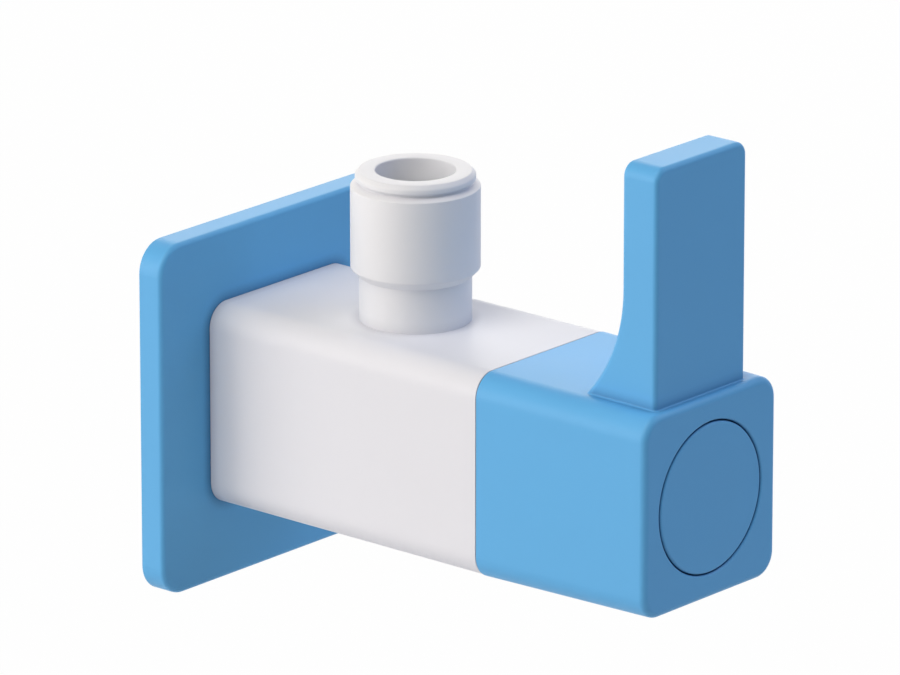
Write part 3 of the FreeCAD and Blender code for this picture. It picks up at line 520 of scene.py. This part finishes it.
# %% [markdown]
# A finished mesh is shaded smooth, except across edges that turn sharply, and its normals are worked out
# again because a spin can leave it inside out. Then it gets its finish, rides on the body that carries it
# and stands for the plain solid, which is hidden.

# %% Finish a piece
SHARP_ANGLE = math.radians(32)
MERGE_DISTANCE = 0.001 * MM


def finish_piece(work, name, body, slot, replaced):
    """Turn a bmesh into a piece that rides on a body and stands for a solid."""
    bmesh.ops.remove_doubles(work, verts=work.verts, dist=MERGE_DISTANCE)
    bmesh.ops.recalc_face_normals(work, faces=work.faces)
    open_edges = sum(not edge.is_manifold for edge in work.edges)
    mesh = bpy.data.meshes.new(name)
    work.to_mesh(mesh)
    work.free()
    mesh.shade_smooth()
    mesh.set_sharp_from_angle(angle=SHARP_ANGLE)
    mesh.materials.append(finishes[slot])
    piece = bpy.data.objects.new(name, mesh)
    bpy.context.scene.collection.objects.link(piece)
    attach(piece, body)
    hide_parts(replaced)
    print(name, "faces", len(mesh.polygons), "open edges", open_edges)


print("sharp from degrees", round(math.degrees(SHARP_ANGLE)))

# %% [markdown]
# ## The round outlet
#
# The hose's nut passes over a smooth collar as wide as a half-inch thread. Below it the neck steps in with a
# short cone, and on top a chamfered rim stands above a shallow groove with a sloping shoulder. On a white
# piece the eye reads little but such edges, so the section is drawn with every one of them, each with its
# small rounding, and then spun.

# %% Model the outlet
outlet_low, outlet_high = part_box("outlet_nipple")
outlet_centre = (outlet_low + outlet_high) / 2
outlet_top = outlet_high.z
collar_radius = (outlet_high.x - outlet_low.x) / 2
spigot_end = outlet_low.z
body_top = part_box("valve_body")[1].z
OUTLET_BORE = 6.47 * MM
BORE_ROUNDING = 0.25 * MM
SPIGOT_RADIUS = 8.6 * MM
NECK_RADIUS = 9.1 * MM
NECK_TOP = 24.4 * MM
CONE_HEIGHT = 1.39 * MM
SHOULDER_HEIGHT = 0.55 * MM
GROOVE_FLOOR = 0.33 * MM
GROOVE_DEPTH = 0.52 * MM
UNDERCUT_HEIGHT = 0.22 * MM
RIM_RADIUS = 9.72 * MM
RIM_WALL = 0.8 * MM
RIM_CHAMFER = 0.62 * MM
RIM_CHAMFER_HEIGHT = 0.7 * MM
EDGE_ROUNDING = 0.12 * MM
SOFT_ROUNDING = 0.2 * MM


def model_outlet():
    """The outlet's section, spun round its own upright axis and carried to its place."""
    chamfer_end = outlet_top - RIM_CHAMFER_HEIGHT
    rim_end = chamfer_end - RIM_WALL
    groove_top = rim_end - UNDERCUT_HEIGHT
    groove_end = groove_top - GROOVE_FLOOR
    collar_top = groove_end - SHOULDER_HEIGHT
    work = bmesh.new()
    draw_section(work, [
        (OUTLET_BORE, spigot_end),
        (SPIGOT_RADIUS, spigot_end),
        (SPIGOT_RADIUS, body_top),
        (NECK_RADIUS, body_top),
        (NECK_RADIUS, NECK_TOP),
        (collar_radius, NECK_TOP + CONE_HEIGHT, SOFT_ROUNDING),
        (collar_radius, collar_top, EDGE_ROUNDING),
        (RIM_RADIUS - GROOVE_DEPTH, groove_end, EDGE_ROUNDING),
        (RIM_RADIUS - GROOVE_DEPTH, groove_top, EDGE_ROUNDING),
        (RIM_RADIUS, rim_end, SOFT_ROUNDING),
        (RIM_RADIUS, chamfer_end, SOFT_ROUNDING),
        (RIM_RADIUS - RIM_CHAMFER, outlet_top, EDGE_ROUNDING),
        (OUTLET_BORE, outlet_top, BORE_ROUNDING),
    ])
    turn_section(work)
    bmesh.ops.translate(work, verts=work.verts, vec=(outlet_centre.x, outlet_centre.y, 0))
    finish_piece(work, "outlet_spout", "valve", "outlet_plastic", "outlet_nipple")


model_outlet()

# %% [markdown]
# ## The threaded inlet tail
#
# Behind the plate a tail screws into the wall. Its solid is a plain cylinder as wide as the thread, because a
# true thread is heavy to draw as a solid and easy to draw as a mesh. One pitch of the thread is a short wavy
# line. Spinning it while it climbs gives a ribbon, and because each turn starts where the last one ended, the
# ribbon's edges merge into one skin.

# %% Wind the thread
tail_low, tail_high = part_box("inlet_nipple")
thread_mount = next(mount for mount in frame["record"]["mounts"] if mount["name"] == "inlet_thread")
thread_radius = thread_mount["dims"]["r_mm"] * MM
thread_end = tail_high.y
INCH = 25.4 * MM
THREADS_PER_INCH = 14
PITCH = INCH / THREADS_PER_INCH
THREAD_DEPTH = 1.162 * MM
FLANK_ANGLE = math.radians(27.5)
CREST_ROUNDING = 0.11 * MM
CREST_SEGMENTS = 2
THREAD_STEPS = 72
THREAD_MERGE = 0.002 * MM
LEAD_IN = 1.5 * PITCH
SPARE_TURNS = 2


def wind_thread(work):
    """A right-handed thread skin from below the plate plane to past the mouth, climbing along Z."""
    root = thread_radius - THREAD_DEPTH
    flank = THREAD_DEPTH * math.tan(FLANK_ANGLE)
    flat = PITCH / 2 - flank
    wave = [(root, 0), (root, flat / 2), (thread_radius, flat / 2 + flank),
            (thread_radius, PITCH - flat / 2 - flank), (root, PITCH - flat / 2), (root, PITCH)]
    turns = math.ceil(thread_end / PITCH) + SPARE_TURNS
    points = [work.verts.new((radius, 0, height - LEAD_IN)) for radius, height in wave]
    for start, end in zip(points, points[1:]):
        work.edges.new((start, end))
    for point in points[1:-1]:
        bmesh.ops.bevel(work, geom=[point], offset=CREST_ROUNDING, offset_type="OFFSET", affect="VERTICES",
                        segments=CREST_SEGMENTS, profile=0.5, material=-1)
    bmesh.ops.spin(work, geom=work.verts[:] + work.edges[:], cent=(0, 0, 0), axis=(0, 0, 1),
                   dvec=(0, 0, PITCH / THREAD_STEPS), angle=2 * math.pi * turns, steps=THREAD_STEPS * turns)
    bmesh.ops.remove_doubles(work, verts=work.verts, dist=THREAD_MERGE)


print("turns on the tail", round(thread_end / PITCH, 1))

# %% [markdown]
# The skin is cut level at both ends. Towards the plate the thread fades out into the full cylinder, and at
# the mouth its crests are chamfered so that it starts easily.

# %% Trim and fade the thread
RUN_OUT = 1.2 * MM
CUT_TOLERANCE = 0.0005 * MM


def cut_level(work, height, upper):
    """Cut the skin square to its axis, and drop what lies above or below."""
    bmesh.ops.bisect_plane(
        work, geom=work.verts[:] + work.edges[:] + work.faces[:], dist=CUT_TOLERANCE,
        plane_co=(0, 0, height), plane_no=(0, 0, 1), clear_outer=upper, clear_inner=not upper)


def set_radius(point, radius):
    """Move a point level, towards or away from the axis."""
    factor = radius / math.hypot(point.co.x, point.co.y)
    point.co.x *= factor
    point.co.y *= factor


def fade_thread(work):
    """Fill the thread towards the plate, and chamfer its crests to the root at the mouth."""
    for point in work.verts:
        radius = math.hypot(point.co.x, point.co.y)
        fade = min(1.0, point.co.z / RUN_OUT)
        cone = thread_radius - max(0.0, THREAD_DEPTH - (thread_end - point.co.z))
        set_radius(point, min(thread_radius - (thread_radius - radius) * fade, cone))


print("run-out in millimetres", RUN_OUT / MM)

# %% [markdown]
# The two open rims are then pulled ring by ring round the rest of the section until they meet in the bore.

# %% Pull rings from an open rim
RIM_TOLERANCE = 0.01 * MM


def open_rim(work, height):
    """The open edges of the skin at one height."""
    return [edge for edge in work.edges
            if edge.is_boundary and all(abs(point.co.z - height) < RIM_TOLERANCE for point in edge.verts)]


def pull_rings(work, rim, section):
    """Extrude an open rim from corner to corner of a section, and give back the last ring of edges."""
    for radius, height in section:
        pulled = bmesh.ops.extrude_edge_only(work, edges=rim)["geom"]
        rim = [item for item in pulled if isinstance(item, bmesh.types.BMEdge) and item.is_boundary]
        for point in {point for edge in rim for point in edge.verts}:
            set_radius(point, radius)
            point.co.z = height
    return rim


print("rims found within millimetres", RIM_TOLERANCE / MM)

# %% [markdown]
# The rest of the tail is plain: the neck that the plate slides on, the sealed shank in the body with the
# groove for its ring, the bore, and the seat for the strainer's rim at the mouth.

# %% Model the tail
body_back = -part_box("valve_body")[1].y
ring_low, ring_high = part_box("inlet_o_ring")
tail_front = -tail_low.y
NECK_RELIEF = 0.28 * MM
SHANK_RADIUS = 8.8 * MM
TAIL_BORE = 6.0 * MM
RING_MARGIN = 0.27 * MM
RING_SEAT_GAP = 0.054 * MM
STRAINER_SEAT_RADIUS = 7.3 * MM
STRAINER_SEAT_DEPTH = 1.2 * MM


def model_tail():
    """The thread skin, closed through neck, shank, bore and mouth, and turned to point into the wall."""
    work = bmesh.new()
    wind_thread(work)
    cut_level(work, 0, upper=False)
    cut_level(work, thread_end, upper=True)
    fade_thread(work)
    neck = thread_radius - NECK_RELIEF
    ring_wall = ring_high.y - ring_low.y
    groove = (ring_high.x - ring_low.x) / 2 - ring_wall - RING_SEAT_GAP
    groove_start = ring_high.y + RING_MARGIN
    groove_end = ring_low.y - RING_MARGIN
    front = pull_rings(work, open_rim(work, 0), [
        (neck, 0), (neck, -body_back), (SHANK_RADIUS, -body_back), (SHANK_RADIUS, groove_start),
        (groove, groove_start), (groove, groove_end), (SHANK_RADIUS, groove_end),
        (SHANK_RADIUS, -tail_front), (TAIL_BORE, -tail_front)])
    seat = thread_end - STRAINER_SEAT_DEPTH
    mouth = pull_rings(work, open_rim(work, thread_end), [
        (STRAINER_SEAT_RADIUS, thread_end), (STRAINER_SEAT_RADIUS, seat), (TAIL_BORE, seat)])
    bmesh.ops.bridge_loops(work, edges=front + mouth)
    bmesh.ops.transform(work, verts=work.verts, matrix=Matrix.Rotation(math.radians(-90), 4, "X"))
    finish_piece(work, "threaded_tail", "valve", "tail_plastic", "inlet_nipple")


model_tail()

# %% [markdown]
